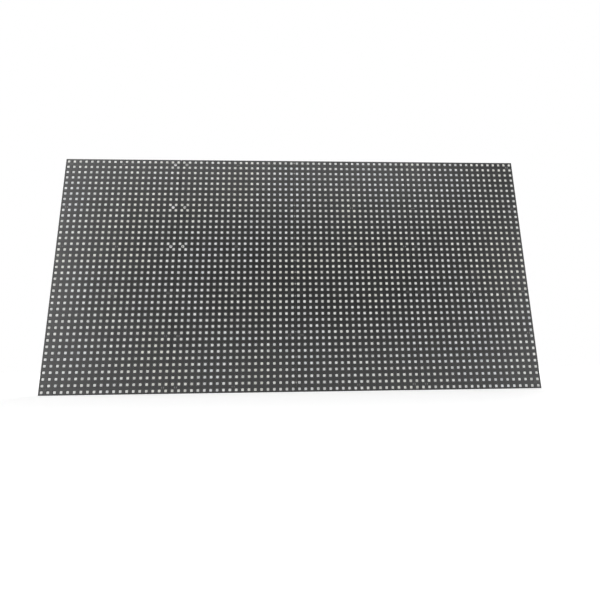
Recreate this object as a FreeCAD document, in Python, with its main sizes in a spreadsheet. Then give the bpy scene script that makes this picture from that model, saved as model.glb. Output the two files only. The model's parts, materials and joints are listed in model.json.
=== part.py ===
import FreeCAD, Part
import os
import Sketcher

# An LED display module: four plastic masks over a board of LEDs, on a moulded rear frame.
# Millimetres. X runs along the module, +Z is up and the LED face looks towards -Y.
# The origin is the centre of the six rear mounting inserts, on the rear face.

doc = FreeCAD.newDocument("LedModule")

# Points closer than this are the same point
SAME = 0.001

# Driving dimensions
DIMENSIONS = {
    "led_pitch": 4.0,
    "mask_count": 4,
    "columns_per_mask": 20,
    "led_rows": 40,
    "led_window": 1.7,
    "led_clearance": 0.1,
    "mask_gap": 0.3,
    "mask_depth": 2.0,
    "mask_plate": 1.2,
    "mask_chamfer": 0.2,
    "opening_size": 2.4,
    "post_to_led": 0.1,
    "post_wall": 0.3,
    "post_tip": 0.8,
    "post_clearance": 0.1,
    "post_column_steps": 9,
    "post_top_steps": 19,
    "post_middle_steps": 11,
    "post_inner_steps": 4,
    "board_inset": 0.35,
    "board_thickness": 1.6,
    "frame_depth": 11.0,
    "frame_wall": 2.5,
    "frame_floor": 3.0,
    "frame_edge_width": 14.0,
    "frame_beam_width": 20.0,
    "frame_crossbar_width": 10.0,
    "frame_crossbar_height": 30.0,
    "frame_corner_radius": 1.5,
    "rib_thickness": 2.4,
    "rib_to_board": 2.5,
    "screw_seat": 4.0,
    "screw_boss_wall": 0.7,
    "screw_head_clearance": 0.4,
    "screw_head_diameter": 3.8,
    "screw_head_height": 1.4,
    "screw_tip_gap": 0.2,
    "screw_hole_clearance": 0.2,
    "insert_inset": 8.0,
    "insert_boss_wall": 1.5,
    "insert_diameter": 6.0,
    "insert_length": 8.0,
    "insert_bore_diameter": 3.3,
    "arrow_length": 12.0,
    "arrow_width": 8.0,
    "arrow_shaft": 3.0,
    "arrow_depth": 0.5,
    "driver_length": 8.65,
    "driver_width": 3.9,
    "driver_height": 1.75,
    "driver_to_boss": 1.5,
    "driver_count_in_row": 15,
    "row_driver_length": 9.9,
    "row_driver_width": 3.9,
    "row_driver_spacing": 16.0,
    "buffer_length": 6.5,
    "buffer_width": 4.4,
    "buffer_height": 1.2,
    "buffer_spacing": 14.0,
    "buffer_gap": 10.0,
    "chip_taper": 0.35,
    "data_header_length": 28.0,
    "data_header_width": 8.8,
    "data_header_height": 9.1,
    "data_header_wall": 1.1,
    "data_header_floor": 2.7,
    "data_header_notch": 4.5,
    "data_pin_pitch": 2.54,
    "data_pin_rows": 8,
    "data_pin_size": 0.64,
    "power_header_length": 16.2,
    "power_header_width": 8.6,
    "power_header_height": 9.0,
    "power_header_wall": 1.2,
    "power_header_floor": 3.0,
    "power_header_notch": 6.0,
    "power_header_gap": 9.7,
    "power_pin_pitch": 3.96,
    "power_pin_count": 4,
    "power_pin_size": 1.14,
    "pin_below_rim": 0.8,
    "capacitor_diameter": 6.3,
    "capacitor_height": 7.0,
    "capacitor_base": 6.6,
    "capacitor_base_height": 1.2,
    "capacitor_gap": 8.4,
    "capacitor_spacing": 12.0,
    "chip_part_length": 1.6,
    "chip_part_width": 0.8,
    "ceramic_height": 0.8,
    "resistor_height": 0.45,
    "chip_part_distance": 2.5,
}

sheet = doc.addObject("Spreadsheet::Sheet", "Dims")
for row, (name, number) in enumerate(DIMENSIONS.items(), start=1):
    sheet.set(f"A{row}", name)
    sheet.set(f"B{row}", str(number))
    sheet.setAlias(f"B{row}", name)
doc.recompute()

# Sizes that follow from the driving dimensions
BLOCK_WIDTH = "(Dims.columns_per_mask * Dims.led_pitch)"
TILE_WIDTH = f"(Dims.mask_count * {BLOCK_WIDTH})"
TILE_HEIGHT = "(Dims.led_rows * Dims.led_pitch)"
MODULE_WIDTH = f"({TILE_WIDTH} - Dims.mask_gap)"
MODULE_HEIGHT = f"({TILE_HEIGHT} - Dims.mask_gap)"
FIELD_WIDTH = "((Dims.columns_per_mask - 1) * Dims.led_pitch + Dims.opening_size)"
FIELD_HEIGHT = "((Dims.led_rows - 1) * Dims.led_pitch + Dims.opening_size)"
BOARD_REAR = "-Dims.frame_depth"
BOARD_FRONT = "-(Dims.frame_depth + Dims.board_thickness)"
BEAM_DEPTH = "(Dims.frame_depth - Dims.frame_floor - Dims.rib_to_board)"
BOSS_LENGTH = "(Dims.frame_depth - Dims.frame_floor)"

# A post fits between the windows of four LEDs, and its screw leaves it a wall
POST_DIAMETER = "(Dims.led_pitch - Dims.led_window - 2 * Dims.post_to_led)"
POST_HOLE = f"({POST_DIAMETER} + 2 * Dims.post_clearance)"
POST_LENGTH = "(Dims.board_thickness + Dims.post_tip)"
POST_SIDE = "(Dims.post_column_steps * Dims.led_pitch)"
POST_TOP = "(Dims.post_top_steps * Dims.led_pitch)"
POST_MIDDLE = "(Dims.post_middle_steps * Dims.led_pitch)"
POST_INNER = "(Dims.post_inner_steps * Dims.led_pitch)"
SCREW_DIAMETER = f"({POST_DIAMETER} - 2 * Dims.post_wall)"
SCREW_REACH = "(Dims.board_thickness + Dims.mask_depth - Dims.mask_plate)"
SCREW_LENGTH = f"(Dims.screw_seat + {SCREW_REACH} - Dims.screw_tip_gap)"
RECESS_DIAMETER = "(Dims.screw_head_diameter + 2 * Dims.screw_head_clearance)"
RECESS_DEPTH = "(Dims.frame_depth - Dims.screw_seat)"
BOSS_DIAMETER = f"({RECESS_DIAMETER} + 2 * Dims.screw_boss_wall)"
INSERT_X = f"({TILE_WIDTH} / 2 - Dims.insert_inset)"
INSERT_Z = f"({TILE_HEIGHT} / 2 - Dims.insert_inset)"

# The edges of the rear frame's windows, from the module's centre
INNER_LOW = "(Dims.frame_beam_width / 2)"
INNER_HIGH = f"({BLOCK_WIDTH} - Dims.frame_beam_width / 2)"
OUTER_LOW = f"({BLOCK_WIDTH} + Dims.frame_beam_width / 2)"
OUTER_HIGH = f"({MODULE_WIDTH} / 2 - Dims.frame_edge_width)"
BAR_LOW = "(Dims.frame_crossbar_height - Dims.frame_crossbar_width / 2)"
BAR_HIGH = "(Dims.frame_crossbar_height + Dims.frame_crossbar_width / 2)"
TOP_HIGH = f"({MODULE_HEIGHT} / 2 - Dims.frame_edge_width)"

# Where the electronics stand in those windows
DRIVER_ROW = f"({POST_MIDDLE} + {BOSS_DIAMETER} / 2 + Dims.driver_to_boss + Dims.driver_width / 2)"
DATA_PLACE = f"(({OUTER_LOW} + {OUTER_HIGH}) / 2)"
ROW_DRIVER_PLACE = f"(-({INNER_LOW} + {INNER_HIGH}) / 2)"
BUFFER_PLACE = f"({DATA_PLACE} - (Dims.data_header_width + Dims.buffer_length) / 2 - Dims.buffer_gap)"
POWER_PLACE = f"({INNER_LOW} + Dims.power_header_gap + Dims.power_header_width / 2)"
CAPACITOR_STEP = "((Dims.power_header_width + Dims.capacitor_base) / 2 + Dims.capacitor_gap)"
CAPACITOR_PLACE = f"({POWER_PLACE} + {CAPACITOR_STEP})"

mask_count = int(sheet.mask_count)
block_centres = [f"({index} - (Dims.mask_count - 1) / 2) * {BLOCK_WIDTH}" for index in range(mask_count)]
post_rows = [POST_TOP, POST_MIDDLE, POST_INNER]

# The posts of one mask, as (x, z) in the mask's own frame
post_places = []
for row_height in post_rows:
    for side in ("-1", "0", "1"):
        post_places.append((f"{side} * {POST_SIDE}", row_height))
        post_places.append((f"{side} * {POST_SIDE}", f"-{row_height}"))

# The posts that take a screw: the two sides at the middle rows, the centre at the top and bottom rows
screw_post_places = []
for sign in ("", "-"):
    screw_post_places.append((f"-1 * {POST_SIDE}", f"{sign}{POST_MIDDLE}"))
    screw_post_places.append((POST_SIDE, f"{sign}{POST_MIDDLE}"))
    screw_post_places.append(("0", f"{sign}{POST_TOP}"))

# The same places in the module's frame
screw_places = [(f"{centre} + {x}", z) for centre in block_centres for x, z in screw_post_places]
insert_places = []
for x in (f"-{INSERT_X}", "0", INSERT_X):
    insert_places.append((x, INSERT_Z))
    insert_places.append((x, f"-{INSERT_Z}"))

sub_parts = []


def finish(item, label, x="0", y="0", z="0"):
    """Names a sub-part, puts it in its place and adds it to the module."""
    item.Label = label
    item.setExpression("Placement.Base.x", x)
    item.setExpression("Placement.Base.y", y)
    item.setExpression("Placement.Base.z", z)
    sub_parts.append(item)


# Sketches and features that the moulded pieces share


def new_sketch(body, name, depth="0"):
    """A sketch that faces the front, at a depth towards -Y from the body's own origin."""
    sketch = body.newObject("Sketcher::SketchObject", name)
    front_plane = next(item for item in body.Origin.OriginFeatures if item.Role == "XZ_Plane")
    sketch.AttachmentSupport = (front_plane, [""])
    sketch.MapMode = "FlatFace"
    sketch.setExpression("AttachmentOffset.Base.z", depth)
    return sketch


def bind_constraint(sketch, constraint, text):
    index = sketch.addConstraint(constraint)
    sketch.setExpression(f"Constraints[{index}]", text)


def draw_polygon(sketch, points):
    """A closed outline whose corners are given as pairs of expressions."""
    corners = [FreeCAD.Vector(sketch.evalExpression(x), sketch.evalExpression(z), 0) for x, z in points]
    first = sketch.GeometryCount
    count = len(corners)
    for index, corner in enumerate(corners):
        sketch.addGeometry(Part.LineSegment(corner, corners[(index + 1) % count]), False)
    for index in range(count):
        following = first + (index + 1) % count
        sketch.addConstraint(Sketcher.Constraint("Coincident", first + index, 2, following, 1))
    for index, (x, z) in enumerate(points):
        corner = corners[index]
        across = Sketcher.Constraint("DistanceX", -1, 1, first + index, 1, corner.x)
        upward = Sketcher.Constraint("DistanceY", -1, 1, first + index, 1, corner.y)
        bind_constraint(sketch, across, x)
        bind_constraint(sketch, upward, z)


def draw_rectangle(sketch, width, height, x="0", z="0"):
    left = f"{x} - {width} / 2"
    right = f"{x} + {width} / 2"
    bottom = f"{z} - {height} / 2"
    top = f"{z} + {height} / 2"
    draw_polygon(sketch, [(left, bottom), (right, bottom), (right, top), (left, top)])


def draw_circles(sketch, diameter, places):
    for x, z in places:
        centre = FreeCAD.Vector(sketch.evalExpression(x), sketch.evalExpression(z), 0)
        radius = sketch.evalExpression(f"{diameter} / 2")
        circle = sketch.addGeometry(Part.Circle(centre, FreeCAD.Vector(0, 0, 1), radius), False)
        bind_constraint(sketch, Sketcher.Constraint("Radius", circle, radius), f"{diameter} / 2")
        bind_constraint(sketch, Sketcher.Constraint("DistanceX", -1, 1, circle, 3, centre.x), x)
        bind_constraint(sketch, Sketcher.Constraint("DistanceY", -1, 1, circle, 3, centre.y), z)


def add_pad(body, sketch, name, length, towards_rear=False):
    pad = body.newObject("PartDesign::Pad", name)
    pad.Profile = sketch
    pad.setExpression("Length", length)
    pad.Reversed = towards_rear
    return pad


def add_pocket(body, sketch, name, length, towards_front=False):
    pocket = body.newObject("PartDesign::Pocket", name)
    pocket.Profile = sketch
    pocket.setExpression("Length", length)
    pocket.Reversed = towards_front
    return pocket


def add_pattern(body, feature, sketch, axis, name, length, occurrences):
    pattern = body.newObject("PartDesign::LinearPattern", name)
    pattern.Originals = [feature]
    pattern.Direction = (sketch, [axis])
    pattern.setExpression("Length", length)
    pattern.setExpression("Occurrences", occurrences)
    body.Tip = pattern
    return pattern


# Front masks


def front_outline_edges(shape, depth):
    """The straight edges round the front face's outline."""
    box = shape.BoundBox
    names = []
    for number, edge in enumerate(shape.Edges, start=1):
        middle = edge.BoundBox.Center
        on_front = edge.BoundBox.YMax < -depth + SAME
        on_side = min(abs(middle.x - box.XMin), abs(middle.x - box.XMax)) < SAME
        on_end = min(abs(middle.z - box.ZMin), abs(middle.z - box.ZMax)) < SAME
        if on_front and (on_side or on_end):
            names.append(f"Edge{number}")
    return names


def make_mask(number, centre):
    """One mask: a plate with an upright slot for each LED column, a rim and its posts."""
    body = doc.addObject("PartDesign::Body", f"Mask{number}")
    outline = new_sketch(body, "MaskOutline")
    draw_rectangle(outline, f"({BLOCK_WIDTH} - Dims.mask_gap)", MODULE_HEIGHT)
    add_pad(body, outline, "MaskPlate", "Dims.mask_depth")
    hollow = new_sketch(body, "MaskHollow")
    draw_rectangle(hollow, FIELD_WIDTH, FIELD_HEIGHT)
    add_pocket(body, hollow, "MaskRecess", "Dims.mask_depth - Dims.mask_plate", towards_front=True)
    slot = new_sketch(body, "MaskSlot")
    first_column = "-(Dims.columns_per_mask - 1) / 2 * Dims.led_pitch"
    draw_rectangle(slot, "Dims.opening_size", FIELD_HEIGHT, first_column)
    opening = add_pocket(body, slot, "MaskOpening", "Dims.mask_depth", towards_front=True)
    span = "(Dims.columns_per_mask - 1) * Dims.led_pitch"
    add_pattern(body, opening, slot, "H_Axis", "MaskOpenings", span, "Dims.columns_per_mask")
    pillars = new_sketch(body, "MaskPillarCentres")
    draw_circles(pillars, POST_DIAMETER, post_places)
    add_pad(body, pillars, "MaskPillars", "Dims.mask_depth")
    posts = new_sketch(body, "MaskPostCentres")
    draw_circles(posts, POST_DIAMETER, screw_post_places)
    add_pad(body, posts, "MaskPosts", POST_LENGTH, towards_rear=True)
    pilots = new_sketch(body, "MaskPilotCentres", f"-{POST_LENGTH}")
    draw_circles(pilots, SCREW_DIAMETER, screw_post_places)
    add_pocket(body, pilots, "MaskPilots", f"Dims.post_tip + {SCREW_REACH}", towards_front=True)
    doc.recompute()
    drilled = body.Tip
    edge = body.newObject("PartDesign::Chamfer", "MaskEdge")
    edge.Base = (drilled, front_outline_edges(drilled.Shape, sheet.mask_depth))
    edge.setExpression("Size", "Dims.mask_chamfer")
    finish(body, f"front_mask_{number}", centre, BOARD_FRONT)


# LED rows


def make_leds(number, centre):
    """The light windows of one mask's LEDs, as one bar for each row of packages."""
    body = doc.addObject("PartDesign::Body", f"Leds{number}")
    body.AllowCompound = True
    row_sketch = new_sketch(body, "LedRowOutline")
    row_length = "((Dims.columns_per_mask - 1) * Dims.led_pitch + Dims.led_window)"
    lowest = "-(Dims.led_rows - 1) / 2 * Dims.led_pitch"
    draw_rectangle(row_sketch, row_length, "Dims.led_window", "0", lowest)
    led_row = add_pad(body, row_sketch, "LedRow", "Dims.mask_depth - Dims.mask_plate - Dims.led_clearance")
    span = "(Dims.led_rows - 1) * Dims.led_pitch"
    add_pattern(body, led_row, row_sketch, "V_Axis", "LedRows", span, "Dims.led_rows")
    finish(body, f"led_rows_{number}", centre, BOARD_FRONT)


# Circuit board


def make_board():
    """The board, drilled where the screw posts pass through it."""
    body = doc.addObject("PartDesign::Body", "Board")
    outline = new_sketch(body, "BoardOutline")
    width = f"({MODULE_WIDTH} - 2 * Dims.board_inset)"
    height = f"({MODULE_HEIGHT} - 2 * Dims.board_inset)"
    draw_rectangle(outline, width, height)
    add_pad(body, outline, "BoardPlate", "Dims.board_thickness")
    holes = new_sketch(body, "BoardHoleCentres")
    draw_circles(holes, POST_HOLE, screw_places)
    add_pocket(body, holes, "BoardHoles", "Dims.board_thickness", towards_front=True)
    finish(body, "circuit_board", y=BOARD_REAR)


# Rear frame


def window_spans():
    """Each window of the rear frame as (x, z, width, height)."""
    columns = []
    for low, high in ((INNER_LOW, INNER_HIGH), (OUTER_LOW, OUTER_HIGH)):
        columns.append((f"({low} + {high}) / 2", f"({high} - {low})"))
        columns.append((f"-({low} + {high}) / 2", f"({high} - {low})"))
    rows = [("0", f"(2 * {BAR_LOW})")]
    rows.append((f"({BAR_HIGH} + {TOP_HIGH}) / 2", f"({TOP_HIGH} - {BAR_HIGH})"))
    rows.append((f"-({BAR_HIGH} + {TOP_HIGH}) / 2", f"({TOP_HIGH} - {BAR_HIGH})"))
    return [(x, z, width, height) for x, width in columns for z, height in rows]


def window_corner_edges(shape, floor):
    """The short edges through the frame's floor at the corners of its windows."""
    names = []
    for number, edge in enumerate(shape.Edges, start=1):
        box = edge.BoundBox
        through_floor = abs(box.YMax) < SAME and abs(box.YMin + floor) < SAME
        if through_floor and box.XLength < SAME and box.ZLength < SAME:
            names.append(f"Edge{number}")
    return names


def add_ribs(body):
    """Upright and level ribs along the middle of the beams between the windows."""
    inner_height = f"({MODULE_HEIGHT} - 2 * Dims.frame_wall)"
    inner_width = f"({MODULE_WIDTH} - 2 * Dims.frame_wall)"
    upright = new_sketch(body, "UprightRibs", "Dims.frame_floor")
    for x in (f"-1 * {BLOCK_WIDTH}", "0", BLOCK_WIDTH):
        draw_rectangle(upright, "Dims.rib_thickness", inner_height, x)
    add_pad(body, upright, "UprightRibPads", BEAM_DEPTH)
    level = new_sketch(body, "LevelRibs", "Dims.frame_floor")
    for z in ("-1 * Dims.frame_crossbar_height", "Dims.frame_crossbar_height"):
        draw_rectangle(level, inner_width, "Dims.rib_thickness", "0", z)
    add_pad(body, level, "LevelRibPads", BEAM_DEPTH)


def add_screw_seats(body):
    """A boss for each screw, with its recess, its hole and the socket for the mask's post."""
    bosses = new_sketch(body, "ScrewBossCentres", "Dims.frame_floor")
    draw_circles(bosses, BOSS_DIAMETER, screw_places)
    add_pad(body, bosses, "ScrewBosses", BOSS_LENGTH)
    recesses = new_sketch(body, "ScrewRecessCentres")
    draw_circles(recesses, RECESS_DIAMETER, screw_places)
    add_pocket(body, recesses, "ScrewRecesses", RECESS_DEPTH, towards_front=True)
    holes = new_sketch(body, "ScrewHoleCentres")
    draw_circles(holes, f"({SCREW_DIAMETER} + 2 * Dims.screw_hole_clearance)", screw_places)
    add_pocket(body, holes, "ScrewHoles", "Dims.frame_depth", towards_front=True)
    sockets = new_sketch(body, "PostSocketCentres", "Dims.frame_depth")
    draw_circles(sockets, POST_HOLE, screw_places)
    add_pocket(body, sockets, "PostSockets", "(Dims.post_tip + Dims.post_clearance)")


def add_insert_seats(body):
    bosses = new_sketch(body, "InsertBossCentres", "Dims.frame_floor")
    draw_circles(bosses, "(Dims.insert_diameter + 2 * Dims.insert_boss_wall)", insert_places)
    add_pad(body, bosses, "InsertBosses", BOSS_LENGTH)
    bores = new_sketch(body, "InsertSeatCentres")
    draw_circles(bores, "Dims.insert_diameter", insert_places)
    add_pocket(body, bores, "InsertSeats", "Dims.insert_length", towards_front=True)


def add_arrow(body):
    """The sunk arrow on the top edge that says which way is up."""
    arrow = new_sketch(body, "ArrowOutline")
    x = f"({BLOCK_WIDTH} / 2)"
    z = f"({MODULE_HEIGHT} / 2 - Dims.frame_edge_width / 2)"
    half = "Dims.arrow_length / 2"
    neck = f"{z} + {half} - Dims.arrow_width / 2"
    points = [
        (f"{x} - Dims.arrow_shaft / 2", f"{z} - {half}"),
        (f"{x} + Dims.arrow_shaft / 2", f"{z} - {half}"),
        (f"{x} + Dims.arrow_shaft / 2", neck),
        (f"{x} + Dims.arrow_width / 2", neck),
        (x, f"{z} + {half}"),
        (f"{x} - Dims.arrow_width / 2", neck),
        (f"{x} - Dims.arrow_shaft / 2", neck),
    ]
    draw_polygon(arrow, points)
    add_pocket(body, arrow, "Arrow", "Dims.arrow_depth", towards_front=True)


def make_frame():
    body = doc.addObject("PartDesign::Body", "Frame")
    outline = new_sketch(body, "FrameOutline")
    draw_rectangle(outline, MODULE_WIDTH, MODULE_HEIGHT)
    add_pad(body, outline, "FrameBlock", "Dims.frame_depth")
    cavity = new_sketch(body, "FrameCavity", "Dims.frame_depth")
    inner_width = f"({MODULE_WIDTH} - 2 * Dims.frame_wall)"
    inner_height = f"({MODULE_HEIGHT} - 2 * Dims.frame_wall)"
    draw_rectangle(cavity, inner_width, inner_height)
    add_pocket(body, cavity, "FrameHollow", BOSS_LENGTH)
    windows = new_sketch(body, "FrameWindows")
    for x, z, width, height in window_spans():
        draw_rectangle(windows, width, height, x, z)
    add_pocket(body, windows, "FrameWindowCuts", "Dims.frame_floor", towards_front=True)
    doc.recompute()
    cut_frame = body.Tip
    corners = body.newObject("PartDesign::Fillet", "FrameWindowCorners")
    corners.Base = (cut_frame, window_corner_edges(cut_frame.Shape, sheet.frame_floor))
    corners.setExpression("Radius", "Dims.frame_corner_radius")
    add_ribs(body)
    add_screw_seats(body)
    add_insert_seats(body)
    add_arrow(body)
    finish(body, "rear_frame")


# Fasteners


def make_group(label, items, y="0"):
    """One node that holds several loose pieces of one kind."""
    group = doc.addObject("Part::Compound", label)
    group.Links = items
    finish(group, label, y=y)


def add_cylinder(diameter, length, x="0", y="0", z="0"):
    """A round bar that runs from its place towards the rear, along +Y."""
    cylinder = doc.addObject("Part::Cylinder", "Round")
    cylinder.setExpression("Radius", f"{diameter} / 2")
    cylinder.setExpression("Height", length)
    cylinder.Placement.Rotation = FreeCAD.Rotation(FreeCAD.Vector(1, 0, 0), -90)
    cylinder.setExpression("Placement.Base.x", x)
    cylinder.setExpression("Placement.Base.y", y)
    cylinder.setExpression("Placement.Base.z", z)
    return cylinder


def add_box(width, depth, height, x="0", y="0", z="0"):
    """A box centred on x and z, which runs from y towards the rear."""
    box = doc.addObject("Part::Box", "Block")
    box.setExpression("Length", width)
    box.setExpression("Width", depth)
    box.setExpression("Height", height)
    box.setExpression("Placement.Base.x", f"{x} - {width} / 2")
    box.setExpression("Placement.Base.y", y)
    box.setExpression("Placement.Base.z", f"{z} - {height} / 2")
    return box


def add_cut(base, tool):
    cut = doc.addObject("Part::Cut", "Cut")
    cut.Base = base
    cut.Tool = tool
    return cut


def add_fuse(first, second):
    fuse = doc.addObject("Part::Fuse", "Join")
    fuse.Base = first
    fuse.Tool = second
    return fuse


def make_screws():
    screws = []
    for x, z in screw_places:
        shank = add_cylinder(SCREW_DIAMETER, SCREW_LENGTH, x, f"-{SCREW_LENGTH}", z)
        head = add_cylinder("Dims.screw_head_diameter", "Dims.screw_head_height", x, "0", z)
        screws.append(add_fuse(head, shank))
    make_group("mask_screws", screws, f"-{RECESS_DEPTH}")


def make_inserts():
    inserts = []
    for x, z in insert_places:
        sleeve = add_cylinder("Dims.insert_diameter", "Dims.insert_length", x, "0", z)
        bore = add_cylinder("Dims.insert_bore_diameter", "Dims.insert_length", x, "0", z)
        inserts.append(add_cut(sleeve, bore))
    make_group("mounting_inserts", inserts, "-Dims.insert_length")


# Electronics on the rear of the board


def make_chip(label, length, width, height, x, z):
    """A moulded chip body whose sides lean in towards its top."""
    chip = doc.addObject("Part::Wedge", label)
    lean = "Dims.chip_taper"
    chip.setExpression("Xmin", f"-{length} / 2")
    chip.setExpression("Xmax", f"{length} / 2")
    chip.setExpression("Zmin", f"-{width} / 2")
    chip.setExpression("Zmax", f"{width} / 2")
    chip.setExpression("X2min", f"-{length} / 2 + {lean}")
    chip.setExpression("X2max", f"{length} / 2 - {lean}")
    chip.setExpression("Z2min", f"-{width} / 2 + {lean}")
    chip.setExpression("Z2max", f"{width} / 2 - {lean}")
    chip.Ymin = 0
    chip.setExpression("Ymax", height)
    finish(chip, label, x, BOARD_REAR, z)


def driver_places():
    """Driver chips in an upper and a lower row, evenly spread along the module."""
    count = int(sheet.driver_count_in_row)
    places = []
    for sign in ("", "-"):
        for index in range(count):
            step = f"({MODULE_WIDTH} / Dims.driver_count_in_row)"
            x = f"({index} - (Dims.driver_count_in_row - 1) / 2) * {step}"
            places.append((x, f"{sign}{DRIVER_ROW}"))
    return places


def make_driver_chips():
    for number, (x, z) in enumerate(driver_places(), start=1):
        label = f"driver_chip_{number:02d}"
        make_chip(label, "Dims.driver_length", "Dims.driver_width", "Dims.driver_height", x, z)


def make_row_chips():
    for number, step in enumerate((-1, 0, 1), start=1):
        z = f"{step} * Dims.row_driver_spacing"
        label = f"row_driver_chip_{number}"
        size = ("Dims.row_driver_length", "Dims.row_driver_width", "Dims.driver_height")
        make_chip(label, *size, ROW_DRIVER_PLACE, z)


def make_buffers():
    for number, side in enumerate(("-", ""), start=1):
        z = f"{side}Dims.buffer_spacing / 2"
        size = ("Dims.buffer_length", "Dims.buffer_width", "Dims.buffer_height")
        make_chip(f"buffer_chip_{number}", *size, BUFFER_PLACE, z)


def make_small_parts():
    """A ceramic capacitor on one side of each driver chip and a resistor on the other."""
    ceramics = []
    resistors = []
    away = "(Dims.driver_length / 2 + Dims.chip_part_distance)"
    for x, z in driver_places():
        ceramic_size = ("Dims.chip_part_width", "Dims.ceramic_height", "Dims.chip_part_length")
        ceramics.append(add_box(*ceramic_size, f"{x} - {away}", "0", z))
        resistor_size = ("Dims.chip_part_width", "Dims.resistor_height", "Dims.chip_part_length")
        resistors.append(add_box(*resistor_size, f"{x} + {away}", "0", z))
    make_group("ceramic_capacitors", ceramics, BOARD_REAR)
    make_group("current_resistors", resistors, BOARD_REAR)


def make_header(label, kind, pins_long, pins_wide, x, notch_side):
    """A shrouded housing that is open to the rear, keyed on one side, and its pins."""
    length = f"Dims.{kind}_header_length"
    width = f"Dims.{kind}_header_width"
    height = f"Dims.{kind}_header_height"
    wall = f"Dims.{kind}_header_wall"
    floor = f"Dims.{kind}_header_floor"
    pin = f"Dims.{kind}_pin_size"
    pitch = f"Dims.{kind}_pin_pitch"
    housing = add_box(width, height, length)
    cavity_depth = f"{height} - {floor}"
    cavity = add_box(f"({width} - 2 * {wall})", cavity_depth, f"({length} - 2 * {wall})", "0", floor)
    notch_x = f"{notch_side} * ({width} - {wall}) / 2"
    notch = add_box(f"(2 * {wall})", cavity_depth, f"Dims.{kind}_header_notch", notch_x, floor)
    tools = [cavity, notch]
    pins = []
    for step in range(pins_long):
        pin_z = f"({step} - ({pins_long} - 1) / 2) * {pitch}"
        for line in range(pins_wide):
            pin_x = f"({line} - ({pins_wide} - 1) / 2) * {pitch}"
            tools.append(add_box(pin, floor, pin, pin_x, "0", pin_z))
            pins.append(add_box(pin, f"{height} - Dims.pin_below_rim", pin, pin_x, "0", pin_z))
    cutters = doc.addObject("Part::MultiFuse", "HeaderCuts")
    cutters.Shapes = tools
    finish(add_cut(housing, cutters), f"{label}_housing", x, BOARD_REAR)
    group = doc.addObject("Part::Compound", f"{label}_pins")
    group.Links = pins
    finish(group, f"{label}_pins", x, BOARD_REAR)


def make_electrolytics():
    for number, step in enumerate((-1, 0, 1), start=1):
        base = add_box("Dims.capacitor_base", "Dims.capacitor_base_height", "Dims.capacitor_base")
        can = add_cylinder("Dims.capacitor_diameter", "Dims.capacitor_height")
        z = f"{step} * Dims.capacitor_spacing"
        label = f"electrolytic_capacitor_{number}"
        finish(add_fuse(base, can), label, CAPACITOR_PLACE, BOARD_REAR, z)


for number, centre in enumerate(block_centres, start=1):
    make_mask(number, centre)
    make_leds(number, centre)
make_board()
make_frame()
make_screws()
make_inserts()
make_driver_chips()
make_row_chips()
make_buffers()
make_small_parts()
data_pins = int(sheet.data_pin_rows)
make_header("data_input", "data", data_pins, 2, DATA_PLACE, 1)
make_header("data_output", "data", data_pins, 2, f"-{DATA_PLACE}", 1)
make_header("power", "power", int(sheet.power_pin_count), 1, POWER_PLACE, -1)
make_electrolytics()
doc.recompute()

# Every object has to be sound before anything is written
for item in doc.Objects:
    if "Invalid" in item.State or "Error" in item.State:
        raise RuntimeError(f"{item.Name} ({item.Label}) failed: {item.State}")
for item in sub_parts:
    if item.Shape.isNull() or not item.Shape.isValid():
        raise RuntimeError(f"{item.Label} has no sound shape")

os.makedirs("parts", exist_ok=True)
for item in sub_parts:
    item.Shape.exportStep(f"parts/{item.Label}.step")
    size = item.Shape.BoundBox
    print(item.Label, len(item.Shape.Solids), round(item.Shape.Volume, 1), end=" ")
    print(round(size.XLength, 2), round(size.YLength, 2), round(size.ZLength, 2))
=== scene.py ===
import bpy
import json
import math
from mathutils import Matrix, Vector

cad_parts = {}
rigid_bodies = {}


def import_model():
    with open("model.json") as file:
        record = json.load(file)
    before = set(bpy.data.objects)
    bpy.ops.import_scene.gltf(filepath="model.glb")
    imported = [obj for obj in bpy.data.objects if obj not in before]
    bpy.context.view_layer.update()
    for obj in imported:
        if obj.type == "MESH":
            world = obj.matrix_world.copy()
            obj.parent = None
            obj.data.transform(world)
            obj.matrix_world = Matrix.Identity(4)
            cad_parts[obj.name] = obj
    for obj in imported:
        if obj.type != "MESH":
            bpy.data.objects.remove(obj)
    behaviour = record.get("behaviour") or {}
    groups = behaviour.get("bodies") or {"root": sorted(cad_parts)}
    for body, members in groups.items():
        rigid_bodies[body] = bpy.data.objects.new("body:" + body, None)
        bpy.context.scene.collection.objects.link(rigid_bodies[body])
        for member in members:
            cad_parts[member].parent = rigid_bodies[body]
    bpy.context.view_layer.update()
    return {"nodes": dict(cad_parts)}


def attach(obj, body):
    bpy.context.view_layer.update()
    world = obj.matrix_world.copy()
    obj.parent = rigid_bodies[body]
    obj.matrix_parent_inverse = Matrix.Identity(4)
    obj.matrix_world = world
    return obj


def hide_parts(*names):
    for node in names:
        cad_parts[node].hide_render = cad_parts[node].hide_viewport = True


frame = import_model()

# Sizes in millimetres, in the module's own frame. The LED face looks towards -Y.
MM = 0.001
ORIGIN = (0.0, 0.0, 0.0)
MODULE_LENGTH = 319.7
MODULE_HEIGHT = 159.7
PITCH = 4.0
COLUMNS_PER_MASK = 20
LED_ROWS = 40
BLOCK = PITCH * COLUMNS_PER_MASK
BLOCK_HEIGHT = PITCH * LED_ROWS
BLOCK_CENTRES = (-120.0, -40.0, 40.0, 120.0)
FIRST_X = -158.0
FIRST_Z = -78.0

# Depths, from the LED face to the rear of the board
FACE = -14.6
MASK_FRONT = -14.57
LED_FRONT = -14.35
WINDOW_FRONT = -14.32
MASK_PLATE_BACK = -13.4
BOARD_FRONT = -12.6
BOARD_REAR = -11.0

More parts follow.
